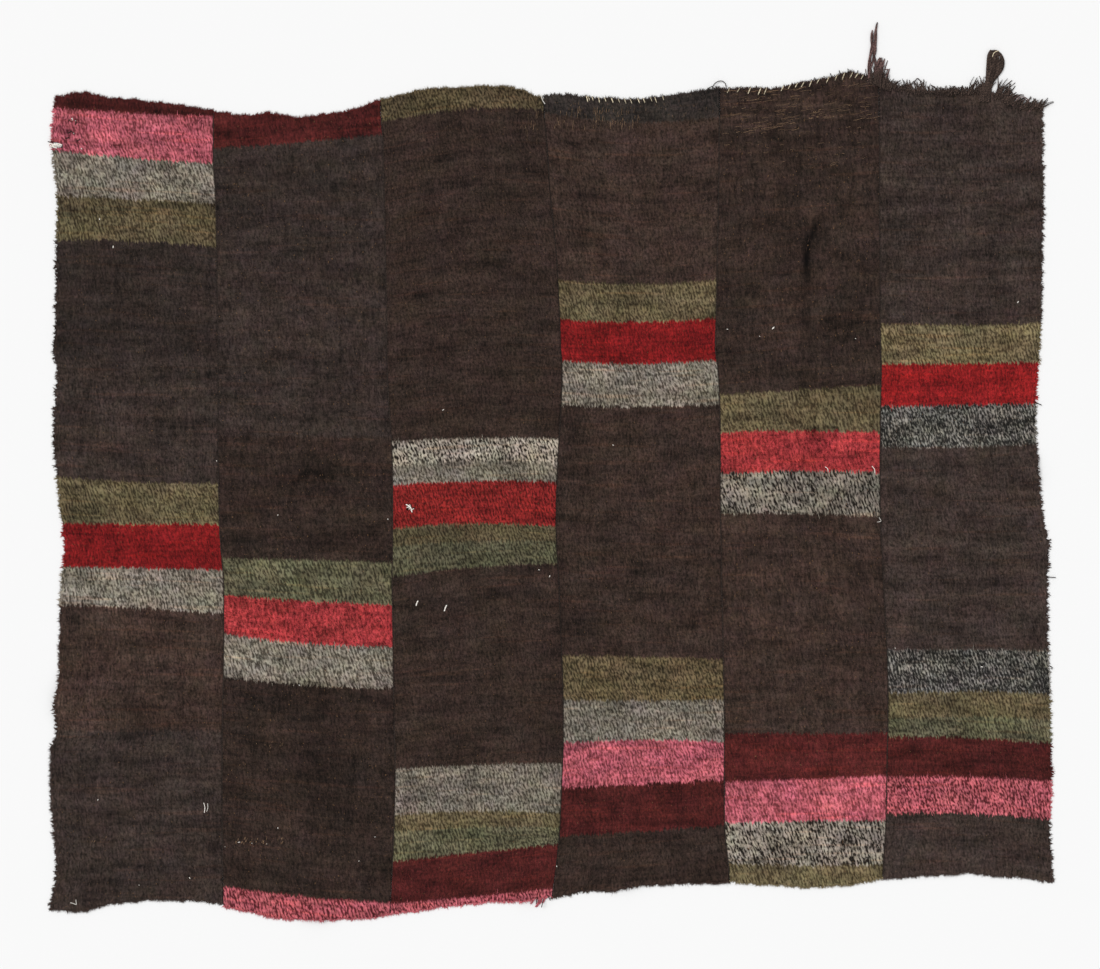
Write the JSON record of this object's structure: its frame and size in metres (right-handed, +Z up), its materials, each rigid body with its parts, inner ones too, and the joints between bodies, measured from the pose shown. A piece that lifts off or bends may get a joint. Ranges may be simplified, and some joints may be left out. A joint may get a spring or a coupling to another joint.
{
  "type": "wool blanket",
  "caption": "Flat handwoven wool blanket of narrow twill strips sewn edge to edge, with colour bands offset from strip to strip, a raw warp fringe, a corner tassel and a warp loop.",
  "frame": {"origin": "on the floor, under the middle of the whole outline, tassel included", "axes": "+X across the strips, from the first to the sixth; +Y along the strips, towards the fringed end; +Z up, out of the face that shows"},
  "size_m": [1.7063, 1.5239, 0.011],
  "materials": {
    "brown_twill": "matte handspun wool twill with a short nap and dyed bands",
    "warp_yarn": "matte loose wool yarn",
    "cream_yarn": "matte cream sewing yarn",
    "seam_yarn": "matte dark sewing yarn"
  },
  "bodies": {
    "root": {"strip_1": "brown_twill", "strip_2": "brown_twill", "strip_3": "brown_twill", "strip_4": "brown_twill", "strip_5": "brown_twill", "strip_6": "brown_twill", "warp_fringe": "warp_yarn", "corner_tassel": "warp_yarn", "warp_loop": "warp_yarn"}
  },
  "joints": []
}
